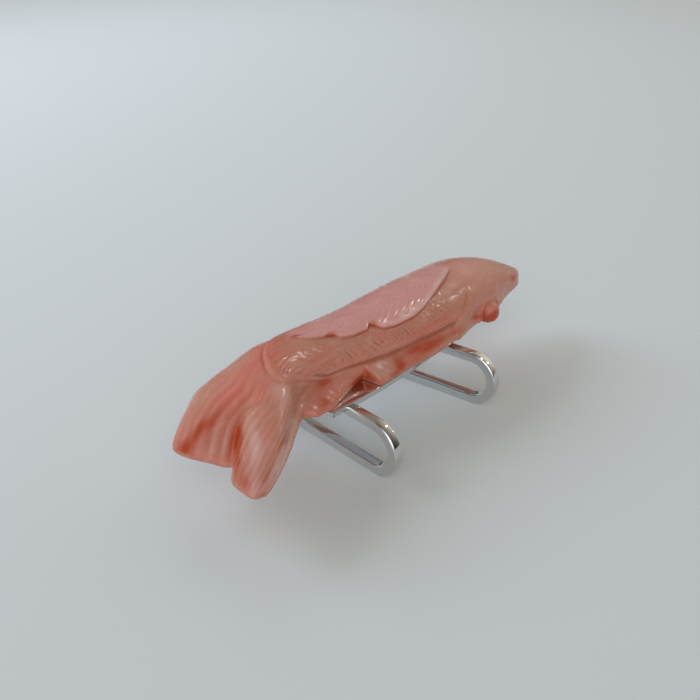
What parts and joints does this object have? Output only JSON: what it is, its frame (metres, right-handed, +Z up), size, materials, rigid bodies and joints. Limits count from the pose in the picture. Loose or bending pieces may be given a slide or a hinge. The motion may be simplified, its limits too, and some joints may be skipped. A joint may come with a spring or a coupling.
{
  "type": "carp obidome",
  "caption": "Sash ornament: a carved coral carp on a curved metal plate with oblong loops underneath, which slide onto a flat sash cord.",
  "frame": {"origin": "middle of the ornament's outline, on the surface that its two loops rest on", "axes": "+X along the carp, from tail to head, and along the sash cord; +Z up, from the loops to the carp's back; +Y across, towards the carp's left flank"},
  "size_m": [0.0522, 0.0188, 0.0133],
  "materials": {
    "coral": "gloss",
    "fitting": "polished"
  },
  "bodies": {
    "root": {"coral_fish": "coral", "cord_fitting": "fitting"}
  },
  "joints": []
}
